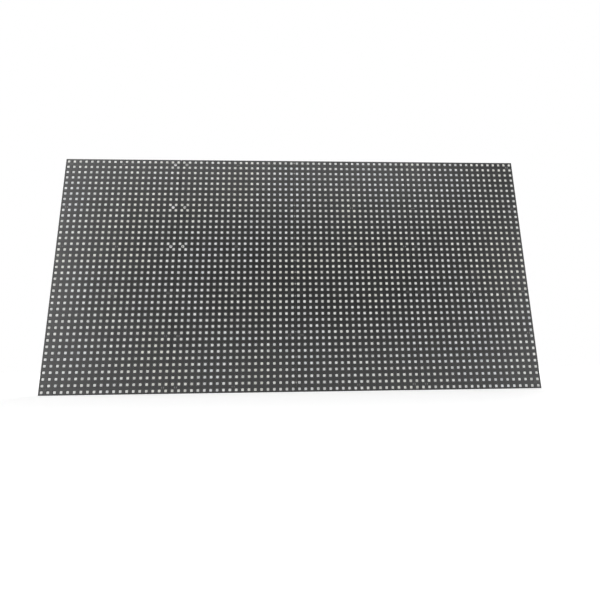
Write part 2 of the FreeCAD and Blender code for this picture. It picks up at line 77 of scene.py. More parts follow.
# Masks and LEDs
MASK_WIDTH = 79.7
MASK_CHAMFER = 0.1
MASK_WALL = 0.55
SEAM_GAPS = {-80.0: 0.20, 0.0: 0.04, 80.0: 0.14}
OPENING = 2.4
OPENING_CORNER = 0.35
OPENING_CHAMFER = 0.18
POST_RADIUS = 1.05
POST_END = 1.2
LED_SIZE = 2.1
LED_CORNER = 0.16
LED_RIM = 0.22
LED_WELL = 0.1
WINDOW_SIZE = 1.64
WINDOW_CORNER = 0.36
WINDOW_CROWN = 0.06
WINDOW_DEPTH = 0.06

# The board and what stands on its rear
BOARD_LENGTH = 319.0
BOARD_HEIGHT = 159.0
HEADER_X = 117.925
POWER_X = 24.0
CAPACITOR_X = 40.0
CAPACITOR_HEIGHTS = (-12.0, 0.0, 12.0)
PIN_STEP = 2.54
POWER_PIN_STEP = 3.96

# Where the studio is dim: straight in front of the LED face
DIM_DIRECTION = (0.166, -0.96, 0.218)


# Working on one piece at a time


def work_on(piece):
    """Leaves one piece selected and active."""
    for item in bpy.context.view_layer.objects:
        item.select_set(False)
    piece.select_set(True)
    bpy.context.view_layer.objects.active = piece


def edit(piece):
    work_on(piece)
    bpy.ops.object.mode_set(mode="EDIT")


def leave_edit():
    bpy.ops.object.mode_set(mode="OBJECT")


def settle(piece, name):
    """Puts the piece's place and turn into its mesh and names it."""
    work_on(piece)
    bpy.ops.object.transform_apply(location=True, rotation=True, scale=True)
    piece.name = name
    piece.data.name = name
    return piece


# Steps inside a piece's mesh, between edit and leave_edit


def select_all(kind=None):
    """Selects the whole mesh, by its vertices, edges or faces where a kind is given."""
    if kind:
        bpy.ops.mesh.select_mode(type=kind)
    bpy.ops.mesh.select_all(action="SELECT")


def select_none(kind):
    bpy.ops.mesh.select_mode(type=kind)
    bpy.ops.mesh.select_all(action="DESELECT")


def select_faces(piece, test):
    """Selects the faces whose centre, in millimetres, and normal pass the test."""
    select_none("FACE")
    leave_edit()
    for face in piece.data.polygons:
        face.select = test(face.center / MM, face.normal)
    bpy.ops.object.mode_set(mode="EDIT")


def select_points(piece, test):
    """Selects the vertices whose place in millimetres passes the test, and what joins them."""
    select_none("VERT")
    leave_edit()
    for point in piece.data.vertices:
        point.select = test(point.co / MM)
    bpy.ops.object.mode_set(mode="EDIT")


def front_face(centre, normal):
    return normal.y < -0.9


def rear_face(centre, normal):
    return normal.y > 0.9


def extrude(x=0.0, y=0.0, z=0.0):
    bpy.ops.mesh.extrude_region_move(TRANSFORM_OT_translate={"value": (x * MM, y * MM, z * MM)})


def move(x=0.0, y=0.0, z=0.0):
    bpy.ops.transform.translate(value=(x * MM, y * MM, z * MM))


def resize(x, y, z, centre=ORIGIN):
    bpy.ops.transform.resize(value=(x, y, z), center_override=[value * MM for value in centre])


def inset(thickness, depth=0.0):
    bpy.ops.mesh.inset(thickness=thickness * MM, depth=depth * MM)


def bevel(width, segments, affect="EDGES"):
    bpy.ops.mesh.bevel(offset=width * MM, segments=segments, affect=affect)


def raise_rings(radius, steps):
    """Takes the selected ring from its radius through each next radius and rise."""
    for next_radius, rise in steps:
        extrude(y=rise)
        resize(next_radius / radius, 1.0, next_radius / radius)
        radius = next_radius


def join_doubles():
    bpy.ops.mesh.remove_doubles(threshold=0.001 * MM)


def face_outwards():
    select_all()
    bpy.ops.mesh.normals_make_consistent(inside=False)


def clear_flats():
    """Joins doubled vertices and clears edges that cross a flat face."""
    select_all("VERT")
    join_doubles()
    bpy.ops.mesh.dissolve_limited(angle_limit=math.radians(1))


def close_back(y):
    """Takes the mesh's open rim back by y and closes it there."""
    select_none("EDGE")
    bpy.ops.mesh.select_non_manifold()
    extrude(y=y)
    bpy.ops.mesh.edge_face_add()
    face_outwards()


# First forms


def add_plate(width, height, x, y, z, name):
    """A flat plate that faces the front, centred on (x, z)."""
    bpy.ops.mesh.primitive_plane_add(
        size=1.0, rotation=(math.pi / 2, 0, 0), location=(x * MM, y * MM, z * MM)
    )
    plate = bpy.context.active_object
    plate.scale = (width * MM, height * MM, 1.0)
    return settle(plate, name)


def add_disc(sides, radius, thickness, x, y, z, name):
    """A round disc with its axis along Y, centred on (x, y, z)."""
    bpy.ops.mesh.primitive_cylinder_add(
        vertices=sides, radius=radius * MM, depth=thickness * MM,
        rotation=(math.pi / 2, 0, 0), location=(x * MM, y * MM, z * MM),
    )
    return settle(bpy.context.active_object, name)


def add_ring(sides, radius, y, fill, name):
    """A circle round the Y axis, open or filled."""
    bpy.ops.mesh.primitive_circle_add(
        vertices=sides, radius=radius * MM, fill_type=fill,
        rotation=(math.pi / 2, 0, 0), location=(0, y * MM, 0),
    )
    return settle(bpy.context.active_object, name)


def add_block(width, depth, height, name):
    """A box that stands on the board side, y = 0, and rises towards the rear."""
    bpy.ops.mesh.primitive_cube_add(size=1.0, location=(0, depth / 2 * MM, 0))
    block = bpy.context.active_object
    block.scale = (width * MM, depth * MM, height * MM)
    return settle(block, name)


# Finishing, copying and joining pieces


def apply_modifier(piece, kind, **settings):
    work_on(piece)
    modifier = piece.modifiers.new(kind.title(), kind)
    for key, value in settings.items():
        setattr(modifier, key, value)
    bpy.ops.object.modifier_apply(modifier=modifier.name)


def soften(piece, width, segments=2, degrees=30):
    """Takes the sharpness off every edge that turns by more than the given angle."""
    apply_modifier(
        piece, "BEVEL", width=width * MM, segments=segments,
        limit_method="ANGLE", angle_limit=math.radians(degrees),
    )


def cut_out(piece, cutter):
    """Takes the cutter's form out of the piece. The cutter is used up."""
    apply_modifier(piece, "BOOLEAN", object=cutter, operation="DIFFERENCE", solver="EXACT")
    bpy.data.objects.remove(cutter)


def repeat(piece, count, x=0.0, z=0.0, merge=False):
    """Lines up copies of what the piece's mesh holds."""
    apply_modifier(
        piece, "ARRAY", count=count, use_relative_offset=False, use_constant_offset=True,
        constant_offset_displace=(x * MM, 0, z * MM), use_merge_vertices=merge,
        merge_threshold=0.002 * MM,
    )


def shift(piece, x=0.0, y=0.0, z=0.0, turn=0.0):
    """Turns the piece's mesh about the Y axis, then moves it."""
    place = Matrix.Translation((x * MM, y * MM, z * MM)) @ Matrix.Rotation(turn, 4, "Y")
    piece.data.transform(place)


def copy_at(piece, name, x=0.0, y=0.0, z=0.0, turn=0.0):
    """A copy with its own mesh, turned about Y and moved from where the first one is."""
    twin = piece.copy()
    twin.data = piece.data.copy()
    bpy.context.collection.objects.link(twin)
    shift(twin, x, y, z, turn)
    twin.name = name
    twin.data.name = name
    return twin


def join(pieces, name):
    work_on(pieces[0])
    for piece in pieces[1:]:
        piece.select_set(True)
    bpy.ops.object.join()
    joined = bpy.context.view_layer.objects.active
    joined.name = name
    joined.data.name = name
    return joined


def spread(piece, name, places):
    """Joins copies of the model, one at each (x, y, z) or (x, y, z, turn), and uses it up."""
    copies = [copy_at(piece, f"{name}_copy", *place) for place in places]
    bpy.data.objects.remove(piece)
    return join(copies, name)


def both_sides(piece, name):
    """The piece and its copy turned half round, as one."""
    return join([piece, copy_at(piece, "other_side", turn=math.pi)], name)


def smooth(piece, degrees=30):
    work_on(piece)
    bpy.ops.object.shade_smooth_by_angle(angle=math.radians(degrees))


def dress(piece, slot, material, *replaced):
    """Gives a finished piece its material and its body."""
    piece.data.materials.clear()
    piece.data.materials.append(material)
    if replaced:
        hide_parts(*replaced)
    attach(piece, "root")


# Materials


class Nodes:
    """Short ways to add and join the nodes of one tree."""

    def __init__(self, tree):
        self.tree = tree

    def add(self, kind, **settings):
        node = self.tree.nodes.new(kind)
        for key, value in settings.items():
            setattr(node, key, value)
        return node

    def feed(self, socket, value):
        """Joins a node's output to the socket, or gives it a plain value."""
        if isinstance(value, bpy.types.NodeSocket):
            self.tree.links.new(value, socket)
        else:
            socket.default_value = value

    def remap(self, source, low, high, to_low=0.0, to_high=1.0, **settings):
        node = self.add("ShaderNodeMapRange", **settings)
        keys = ("Value", "From Min", "From Max", "To Min", "To Max")
        for key, value in zip(keys, (source, low, high, to_low, to_high)):
            self.feed(node.inputs[key], value)
        return node.outputs["Result"]

    def math(self, operation, *values):
        node = self.add("ShaderNodeMath", operation=operation)
        for socket, value in zip(node.inputs, values):
            self.feed(socket, value)
        return node.outputs[0]


class Finish(Nodes):
    """A material whose patterns follow the piece's own place."""

    def __init__(self, name):
        self.material = bpy.data.materials.new(name)
        self.material.use_nodes = True
        super().__init__(self.material.node_tree)
        self.shader = self.tree.nodes["Principled BSDF"]
        self.place = self.add("ShaderNodeTexCoord").outputs["Object"]

    def set(self, **values):
        """Uniform values, straight on the shader's sockets."""
        for key, value in values.items():
            self.shader.inputs[key.replace("_", " ")].default_value = value

    def colour(self, source):
        self.feed(self.shader.inputs["Base Color"], source)

    def roughness(self, source):
        self.feed(self.shader.inputs["Roughness"], source)

    def bump(self, height, distance):
        node = self.add("ShaderNodeBump")
        node.inputs["Distance"].default_value = distance
        self.feed(node.inputs["Height"], height)
        self.feed(self.shader.inputs["Normal"], node.outputs["Normal"])

    def noise(self, scale, detail=3.0):
        node = self.add("ShaderNodeTexNoise")
        for key, value in (("Scale", scale), ("Detail", detail), ("Roughness", 0.55)):
            node.inputs[key].default_value = value
        self.feed(node.inputs["Vector"], self.place)
        return node.outputs["Fac"]

    def uneven(self, scale, low=0.0, high=1.0):
        """Soft patches that run from the low value to the high one."""
        return self.remap(self.noise(scale), 0.3, 0.7, low, high)

    def mix(self, factor, first, second):
        """Two colours mixed by a factor."""
        node = self.add("ShaderNodeMix", data_type="RGBA")
        sockets = [socket for socket in node.inputs if socket.type == "RGBA"]
        for socket, value in zip(sockets, (first, second)):
            self.feed(socket, (*value, 1.0) if isinstance(value, tuple) else value)
        self.feed(node.inputs[0], factor)
        return next(socket for socket in node.outputs if socket.type == "RGBA")

    def pair(self, first, second):
        node = self.add("ShaderNodeCombineXYZ")
        self.feed(node.inputs[0], first)
        self.feed(node.inputs[1], second)
        return node.outputs[0]

    def random(self, place, dimensions="2D"):
        """One steady random number for each value of a place."""
        node = self.add("ShaderNodeTexWhiteNoise", noise_dimensions=dimensions)
        self.feed(node.inputs["Vector"], place)
        return node.outputs["Value"]

    def axes(self):
        node = self.add("ShaderNodeSeparateXYZ")
        self.feed(node.inputs[0], self.place)
        return node.outputs


def moulded(name, dark, light, rough, grain=2600.0, depth=0.00002):
    """Moulded plastic: fine grain, slight unevenness of colour and of gloss."""
    finish = Finish(name)
    finish.colour(finish.mix(finish.uneven(60.0), dark, light))
    finish.roughness(finish.uneven(140.0, rough - 0.05, rough + 0.05))
    finish.bump(finish.noise(grain, 2.0), depth)
    return finish.material


def metal(name, dark, light, rough):
    """Plated or turned metal with a little tarnish."""
    finish = Finish(name)
    finish.set(Metallic=1.0)
    finish.colour(finish.mix(finish.remap(finish.noise(350.0), 0.35, 0.7), dark, light))
    finish.roughness(finish.uneven(500.0, rough - 0.06, rough + 0.08))
    finish.bump(finish.noise(900.0, 2.0), 0.000008)
    return finish.material


def mask_plastic():
    """Dark grey with a fine matt grain, with pale marks on the middle seam at every other row of
    LEDs.
    """
    finish = Finish("mask_plastic")
    finish.set(Specular_IOR_Level=0.72)
    body = finish.mix(finish.uneven(45.0), (0.008, 0.0082, 0.0082), (0.0105, 0.0107, 0.0107))
    x, _, z = finish.axes()
    # Pale marks in noisy patches, on the middle seam at every other LED row.
    near_seam = finish.remap(finish.math("ABSOLUTE", x), 0.2 * MM, 0.7 * MM, 1.0, 0.0)
    step = finish.math("FRACT", finish.math("DIVIDE", z, 2 * PITCH * MM))
    between_rows = finish.math("MULTIPLY", near_seam, finish.math("COMPARE", step, 0.75, 0.07))
    seam_mark_patches = finish.remap(finish.noise(300.0, 1.0), 0.35, 0.60)
    pale = finish.math("MULTIPLY", between_rows, seam_mark_patches)
    finish.colour(finish.mix(pale, body, (0.22, 0.22, 0.21)))
    finish.roughness(finish.uneven(120.0, 0.28, 0.33))
    finish.bump(finish.noise(3200.0, 2.0), 0.00001)
    return finish.material


def painted_glint_post_plastic():
    """Mask plastic with a painted glint: pale mottled post ends, palest on the left-hand posts,
    and on the right-hand posts paler the lower they stand.
    """
    finish = Finish("painted_glint_mask_plastic")
    finish.set(Specular_IOR_Level=0.4)
    # Painted glint: pale mottled patches stand in for light caught by these post ends, palest at
    # the left-hand posts and the lower right-hand ones.
    glint_mottle = finish.remap(finish.noise(900.0, 2.0), 0.34, 0.52)
    x, _, z = finish.axes()
    side = finish.remap(x, -81.0 * MM, -79.0 * MM)
    upward = finish.remap(z, 16.0 * MM, 76.0 * MM)
    right_hand = finish.mix(upward, (0.56, 0.56, 0.54), (0.27, 0.27, 0.26))
    pale = finish.mix(side, (0.63, 0.62, 0.63), right_hand)
    finish.colour(finish.mix(glint_mottle, (0.20, 0.20, 0.20), pale))
    finish.roughness(finish.uneven(900.0, 0.55, 0.75))
    finish.bump(finish.noise(2500.0, 3.0), 0.00004)
    return finish.material


def post_plastic():
    """Mask plastic of the other posts, with two faint painted highlight arcs left and right of the
    dish.
    """
    finish = Finish("post_plastic_painted_glint_arcs")
    arc_radius, arc_half_width = 0.70 / PITCH, 0.20 / PITCH
    x, _, z = finish.axes()
    across, upward = (
        finish.math(
            "SUBTRACT",
            finish.math("FRACT", finish.math("MULTIPLY_ADD", axis, 1 / (PITCH * MM), 0.5)),
            0.5,
        )
        for axis in (x, z)
    )
    squares = [finish.math("MULTIPLY", axis, axis) for axis in (across, upward)]
    away = finish.math("SQRT", finish.math("ADD", *squares))
    ring = finish.math("COMPARE", away, arc_radius, arc_half_width)
    beside = finish.math(
        "LESS_THAN", finish.math("ABSOLUTE", upward), finish.math("ABSOLUTE", across)
    )
    # Painted highlight: pale arcs on both sides of each dish, where the post ends catch the light.
    strength = finish.remap(finish.noise(40.0, 1.0), 0.47, 0.60)
    glint_arcs = finish.math("MULTIPLY", finish.math("MULTIPLY", ring, beside), strength)
    body = finish.mix(finish.uneven(60.0), (0.012, 0.012, 0.012), (0.050, 0.050, 0.049))
    finish.colour(finish.mix(glint_arcs, body, (0.17, 0.17, 0.165)))
    finish.roughness(finish.uneven(140.0, 0.37, 0.47))
    finish.bump(finish.noise(2600.0, 2.0), 0.00002)
    return finish.material


def led_resin():
    """Milky resin. Each LED has its own tone, and whole patches are warmer or cooler."""
    finish = Finish("milky_led_resin")
    cell = finish.add("ShaderNodeVectorMath", operation="SNAP")
    cell.inputs[1].default_value = (PITCH * MM, PITCH * MM, PITCH * MM)
    finish.feed(cell.inputs[0], finish.place)
    own = finish.random(cell.outputs[0], "3D")
    patch = finish.remap(finish.noise(22.0, 2.0), 0.36, 0.64)
    bright = finish.mix(patch, (0.69, 0.70, 0.71), (0.71, 0.71, 0.66))
    dull = finish.mix(patch, (0.50, 0.51, 0.52), (0.52, 0.52, 0.48))
    finish.colour(finish.mix(own, dull, bright))
    finish.roughness(finish.uneven(1500.0, 0.22, 0.34))
    finish.bump(finish.noise(1200.0, 1.0), 0.00001)
    return finish.material


def board_lacquer():
    """Green over copper tracks and small vias, black on the LED side, bare at the edges."""
    finish = Finish("board_lacquer")
    x, y, z = finish.axes()

    def tracks(along, across, step, length, band, share):
        """Parallel tracks, cut into lengths, of which a share of the bundles is there."""
        track = finish.math("DIVIDE", across, step * MM)
        number = finish.math("FLOOR", track)
        line = finish.math("COMPARE", finish.math("SUBTRACT", track, number), 0.5, 0.2)
        ends = finish.math("MULTIPLY", finish.random(finish.pair(number, number)), 0.35)
        lengths = finish.math("ADD", finish.math("DIVIDE", along, length * MM), ends)
        stretch = finish.math("FLOOR", lengths)
        bundle = finish.math("FLOOR", finish.math("DIVIDE", across, band * MM))
        there = finish.math("LESS_THAN", finish.random(finish.pair(stretch, bundle)), share)
        return finish.math("MULTIPLY", line, there)

    level_tracks = tracks(x, z, 0.7, 23.0, 4.2, 0.42)
    upright_tracks = tracks(z, x, 0.9, 11.0, 5.4, 0.3)
    lines = finish.math("MAXIMUM", level_tracks, upright_tracks)
    vias = finish.add("ShaderNodeTexVoronoi", voronoi_dimensions="2D")
    vias.inputs["Scale"].default_value = 1.0 / (PITCH * MM)
    vias.inputs["Randomness"].default_value = 0.35
    finish.feed(vias.inputs["Vector"], finish.pair(x, z))
    away = vias.outputs["Distance"]
    copper = finish.math("MAXIMUM", lines, finish.math("LESS_THAN", away, 0.085))
    base = finish.mix(finish.uneven(30.0), (0.005, 0.055, 0.026), (0.008, 0.075, 0.035))
    green = finish.mix(copper, base, (0.020, 0.135, 0.060))
    drilled = finish.mix(finish.math("LESS_THAN", away, 0.035), green, (0.004, 0.02, 0.012))
    past_edges = [
        finish.math("GREATER_THAN", finish.math("ABSOLUTE", axis), (size / 2 - 0.05) * MM)
        for axis, size in ((x, BOARD_LENGTH), (z, BOARD_HEIGHT))
    ]
    bare = finish.mix(finish.math("MAXIMUM", *past_edges), drilled, (0.32, 0.29, 0.15))
    on_led_side = finish.math("LESS_THAN", y, (BOARD_FRONT + 0.1) * MM)
    finish.colour(finish.mix(on_led_side, bare, (0.010, 0.010, 0.011)))
    finish.roughness(finish.uneven(90.0, 0.30, 0.40))
    finish.bump(copper, 0.00003)
    return finish.material


def can_metal():
    """Satin aluminium, with the dark segment on top that marks one pole."""
    finish = Finish("aluminium_can")
    x, y, _ = finish.axes()
    on_top = finish.math("GREATER_THAN", y, (BOARD_REAR + 6.8) * MM)
    to_one_side = finish.math("GREATER_THAN", x, (CAPACITOR_X + 1.2) * MM)
    mark = finish.math("MULTIPLY", on_top, to_one_side)
    tarnish = finish.remap(finish.noise(350.0), 0.35, 0.7)
    body = finish.mix(tarnish, (0.36, 0.37, 0.38), (0.46, 0.47, 0.48))
    finish.colour(finish.mix(mark, body, (0.015, 0.015, 0.016)))
    finish.feed(finish.shader.inputs["Metallic"], finish.math("SUBTRACT", 1.0, mark))
    finish.roughness(finish.uneven(500.0, 0.38, 0.50))
    return finish.material


MASK = mask_plastic()
GLINT_POST_PLASTIC = painted_glint_post_plastic()
POST = post_plastic()
LED_RESIN = led_resin()
LED_BODY = moulded("led_body_plastic", (0.010, 0.010, 0.011), (0.018, 0.018, 0.019), 0.42)
FRAME = moulded(
    "frame_plastic", (0.022, 0.022, 0.024), (0.032, 0.032, 0.034), 0.5, 1800.0, 0.00003
)
CHIP = moulded("chip_epoxy", (0.018, 0.018, 0.020), (0.028, 0.028, 0.030), 0.55, 4200.0, 0.00001)
HEADER = moulded("header_plastic", (0.014, 0.014, 0.016), (0.024, 0.024, 0.026), 0.4)
NYLON = moulded("white_nylon", (0.70, 0.68, 0.61), (0.78, 0.76, 0.69), 0.42)
CERAMIC = moulded(
    "capacitor_ceramic", (0.36, 0.24, 0.14), (0.48, 0.34, 0.21), 0.5, 5000.0, 0.00001
)
RESISTOR = moulded(
    "resistor_glaze", (0.012, 0.012, 0.014), (0.03, 0.03, 0.032), 0.25, 5000.0, 0.000005
)
BRASS = metal("turned_brass", (0.66, 0.47, 0.18), (0.80, 0.61, 0.28), 0.28)
STEEL = metal("zinc_plate", (0.48, 0.49, 0.50), (0.62, 0.63, 0.64), 0.30)
TIN = metal("tinned_metal", (0.42, 0.42, 0.41), (0.56, 0.56, 0.55), 0.38)
GOLD = metal("gold_plate", (0.74, 0.55, 0.22), (0.88, 0.68, 0.32), 0.24)
CAN = can_metal()
BOARD = board_lacquer()
TRACK = moulded("lacquered_copper", (0.018, 0.120, 0.052), (0.024, 0.150, 0.068), 0.30)
INK = moulded("white_board_ink", (0.50, 0.50, 0.48), (0.62, 0.62, 0.60), 0.6)


# Masks


def model_mask_cell():
    """One opening with its share of the mask's plate, open where the next cell joins."""
    cell = add_plate(PITCH, PITCH, FIRST_X, MASK_FRONT, FIRST_Z, "mask_cell")
    hole = OPENING / 2 + 0.05
    rim = PITCH / 2 - 0.01

    def within(p, reach):
        return abs(p.x - FIRST_X) < reach and abs(p.z - FIRST_Z) < reach

    edit(cell)
    select_all()
    inset((PITCH - OPENING) / 2)
    select_points(cell, lambda p: within(p, hole))
    bevel(OPENING_CORNER, 2, "VERTICES")
    select_faces(cell, lambda c, n: within(c, 0.1))
    bpy.ops.mesh.delete(type="FACE")
    clear_flats()
    leave_edit()
    plate = MASK_PLATE_BACK - MASK_FRONT
    apply_modifier(cell, "SOLIDIFY", thickness=plate * MM, offset=-1.0)
    edit(cell)
    select_faces(cell, lambda c, n: not within(c, rim))
    bpy.ops.mesh.delete(type="FACE")
    select_points(cell, lambda p: p.y < MASK_FRONT + 0.01 and within(p, hole))
    bevel(OPENING_CHAMFER, 1)
    leave_edit()
    return cell


def add_mask_rim(mask, centre):
    """Trims the plate to the mask's outline and gives it its chamfered edge and its side walls."""
    full = (BLOCK, BLOCK_HEIGHT)
    outer = (MASK_WIDTH, MODULE_HEIGHT)
    chamfered = [size - 2 * MASK_CHAMFER for size in outer]
    hollow = [size - 2 * MASK_WALL for size in outer]
    plate_middle = MASK_FRONT + 0.5

    def on_border(p):
        return abs(p.x - centre) > BLOCK / 2 - 0.01 or abs(p.z) > BLOCK_HEIGHT / 2 - 0.01

    def fit(old, new):
        resize(new[0] / old[0], 1.0, new[1] / old[1], (centre, 0.0, 0.0))

    edit(mask)
    select_points(mask, lambda p: on_border(p) and p.y > plate_middle)
    fit(full, hollow)
    select_points(mask, lambda p: on_border(p) and p.y < plate_middle)
    fit(full, chamfered)
    extrude(y=MASK_CHAMFER)
    fit(chamfered, outer)
    extrude(y=BOARD_FRONT - MASK_FRONT - MASK_CHAMFER)
    extrude()
    fit(outer, hollow)
    bpy.ops.mesh.select_mode(type="EDGE")
    bpy.ops.mesh.select_non_manifold()
    bpy.ops.mesh.bridge_edge_loops()
    face_outwards()
    leave_edit()


def make_masks():
    """Four masks side by side. Where two meet, both edges move to leave that seam's own gap."""
    cell = model_mask_cell()
    repeat(cell, COLUMNS_PER_MASK, x=PITCH, merge=True)
    repeat(cell, LED_ROWS, z=PITCH, merge=True)
    add_mask_rim(cell, BLOCK_CENTRES[0])
    for number, centre in enumerate(BLOCK_CENTRES, start=1):
        mask = copy_at(cell, f"pixel_mask_{number}", centre - BLOCK_CENTRES[0])
        for side in (-1, 1):
            seam = centre + side * BLOCK / 2
            if seam in SEAM_GAPS:
                edit(mask)
                select_points(mask, lambda p: abs(p.x - seam) < 0.6)
                move(x=side * (BLOCK - MASK_WIDTH - SEAM_GAPS[seam]) / 2)
                leave_edit()
        dress(mask, "mask_plastic", MASK, f"front_mask_{number}")
    bpy.data.objects.remove(cell)


POST_PLACES = [
    (centre + side, 0.0, height)
    for centre in BLOCK_CENTRES
    for side in (-36.0, 0.0, 36.0)
    for height in (-76.0, -44.0, -16.0, 16.0, 44.0, 76.0)
]
# Post ends that carry a painted glint: they are painted pale where they catch the light.
GLINT_POST_PLACES = [(x, 0.0, height) for x in (-84.0, -76.0) for height in (16.0, 44.0, 76.0)]


def make_post_ends():
    """The round ends of the mask's posts, slightly dished, some of them painted pale as a glint.
    """
    post = add_disc(20, POST_RADIUS, POST_END, 0.0, FACE + POST_END / 2, 0.0, "post_end")
    edit(post)
    select_faces(post, front_face)
    bevel(0.06, 2)
    select_faces(post, lambda c, n: n.y < -0.999)
    for thickness, depth in ((0.10, 0.0), (0.12, -0.01), (0.50, 0.0), (0.05, -0.01)):
        inset(thickness, depth)
    leave_edit()
    smooth(post)
    glint_post_model = copy_at(post, "glint_post_end")
    plain_places = [place for place in POST_PLACES if place not in GLINT_POST_PLACES]
    dress(spread(post, "post_ends", plain_places), "mask_plastic", POST)
    # These six post ends are painted pale as a glint.
    dress(spread(glint_post_model, "glint_post_ends", GLINT_POST_PLACES), "mask_plastic", GLINT_POST_PLASTIC)


# LED packages


def model_led():
    """The black body of one LED package, with the well that its window sits in."""
    body = add_plate(LED_SIZE, LED_SIZE, FIRST_X, LED_FRONT, FIRST_Z, "led_body")
    edit(body)
    select_all("VERT")
    bevel(LED_CORNER, 1, "VERTICES")
    select_all("FACE")
    inset(LED_RIM)
    extrude(y=LED_WELL)
    close_back(BOARD_FRONT - LED_FRONT)
    leave_edit()
    return body


def model_led_window():
    """The milky window of one LED: a rounded square, slightly crowned."""
    window = add_plate(WINDOW_SIZE, WINDOW_SIZE, FIRST_X, WINDOW_FRONT, FIRST_Z, "led_window")
    edit(window)
    select_all("VERT")
    bevel(WINDOW_CORNER, 2, "VERTICES")
    select_all("FACE")
    inset(0.2, WINDOW_CROWN)
    close_back(WINDOW_DEPTH)
    leave_edit()
    return window


def make_leds():
    """All bodies and windows, a piece of each behind every mask."""
    body = model_led()
    window = model_led_window()
    for model in (body, window):
        repeat(model, COLUMNS_PER_MASK, x=PITCH)
        repeat(model, LED_ROWS, z=PITCH)
    for number, centre in enumerate(BLOCK_CENTRES, start=1):
        away = centre - BLOCK_CENTRES[0]
        bodies = copy_at(body, f"led_bodies_{number}", away)
        dress(bodies, "led_body", LED_BODY)
        windows = copy_at(window, f"led_windows_{number}", away)
        dress(windows, "led_window", LED_RESIN, f"led_rows_{number}")
    bpy.data.objects.remove(body)
    bpy.data.objects.remove(window)


# Rear of the module


def step_places(step, count):
    """Evenly stepped offsets about zero."""
    return [(index - (count - 1) / 2) * step for index in range(count)]


DRIVERS_A_ROW = 15
DRIVER_PLACES = [
    (x, BOARD_REAR, z)
    for z in (50.45, -50.45)
    for x in step_places(MODULE_LENGTH / DRIVERS_A_ROW, DRIVERS_A_ROW)
]
ROW_DRIVER_PLACES = [(-40.0, BOARD_REAR, z) for z in (-16.0, 0.0, 16.0)]
BUFFER_PLACES = [(100.275, BOARD_REAR, z) for z in (-7.0, 7.0)]

# Name, body's length, width and height, pitch of the legs, legs a side, places
CHIP_KINDS = (
    ("driver", 8.65, 3.9, 1.75, 0.635, 12, DRIVER_PLACES),
    ("row_driver", 9.9, 3.9, 1.75, 1.27, 8, ROW_DRIVER_PLACES),
    ("buffer", 6.5, 4.4, 1.2, 0.65, 10, BUFFER_PLACES),
)
CHIP_GAP = 0.1
CHIP_DRAFT = 0.5
DIMPLE_RADIUS = 0.32
DIMPLE_FROM_EDGE = 0.95
LEG_THICKNESS = 0.17
LEG_BREADTH = 0.26
PAD_BREADTH = 0.36
PAD_LENGTH = 1.35
TRACK_WIDTH = 0.22
TRACK_HEIGHT = 0.03
VIA_RADIUS = 0.3
VIA_HEIGHT = 0.04


def beside_drivers(side):
    """Places of the small parts on one side, -1 or 1, of every driver chip."""
    driver_length = CHIP_KINDS[0][1]
    return [(x + side * (driver_length / 2 + 2.5), y, z) for x, y, z in DRIVER_PLACES]


def model_chip(length, width, height):
    """A moulded body: both halves lean away from the parting line, with a dimple at pin one."""
    thickness = height - CHIP_GAP
    half = thickness * 0.45
    chip = add_block(length, thickness, width, "chip")
    edit(chip)
    for side, away in ((0.0, -half), (thickness, half)):
        select_faces(chip, lambda c, n: abs(n.y) > 0.9 and abs(c.y - side) < 0.01)
        move(y=-away)
        extrude(y=away)
        resize((length - CHIP_DRAFT) / length, 1.0, (width - CHIP_DRAFT) / width)
    select_all()
    move(y=CHIP_GAP)
    leave_edit()
    soften(chip, 0.07, 1, 40)
    x = length / 2 - DIMPLE_FROM_EDGE
    z = width / 2 - DIMPLE_FROM_EDGE
    cut_out(chip, add_disc(20, DIMPLE_RADIUS, 0.3, x, height + 0.07, z, "pin_one_dimple"))
    return chip


def model_legs(width, height, pitch, count):
    """The bent legs along both long sides of a chip, out, down and flat onto their pads."""
    level = height * 0.5
    first = -(count - 1) / 2 * pitch
    start = width / 2 - 0.15
    bpy.ops.mesh.primitive_plane_add(size=1.0, location=(first * MM, level * MM, start * MM))
    leg = bpy.context.active_object
    leg.scale = (LEG_BREADTH * MM, LEG_THICKNESS * MM, 1.0)
    settle(leg, "leg")
    edit(leg)
    select_all()
    fall = level - LEG_THICKNESS / 2 - 0.16 - 0.08
    # Out of the body, round the shoulder, down, round the heel and flat along the pad
    for y, z in ((0.0, 0.38), (-0.08, 0.1), (-fall, 0.14), (-0.12, 0.12), (0.0, 0.65)):
        extrude(y=y, z=z)
    face_outwards()
    leave_edit()
    repeat(leg, count, x=pitch)
    return both_sides(leg, "legs")


def model_pads(width, pitch, count):
    """Tinned pads under the legs' feet, both sides, with rounded-off solder edges."""
    pad = add_block(PAD_BREADTH, 0.05, PAD_LENGTH, "pad")
    edit(pad)
    select_faces(pad, rear_face)
    inset(0.06, 0.03)
    select_all()
    move(x=-(count - 1) / 2 * pitch, z=width / 2 + 0.85)
    leave_edit()
    repeat(pad, count, x=pitch)
    return both_sides(pad, "pads")


def make_chips():
    """Bodies, legs and pads of every kind of chip, each as one piece."""
    for name, length, width, height, pitch, count, places in CHIP_KINDS:
        nodes = [node for node in frame["nodes"] if node.startswith(f"{name}_chip_")]
        bodies = spread(model_chip(length, width, height), f"{name}_bodies", places)
        dress(bodies, "chip_plastic", CHIP, *nodes)
        legs = spread(model_legs(width, height, pitch, count), f"{name}_legs", places)
        dress(legs, "lead_tin", TIN)
        pads = spread(model_pads(width, pitch, count), f"{name}_pads", places)
        dress(pads, "lead_tin", TIN)


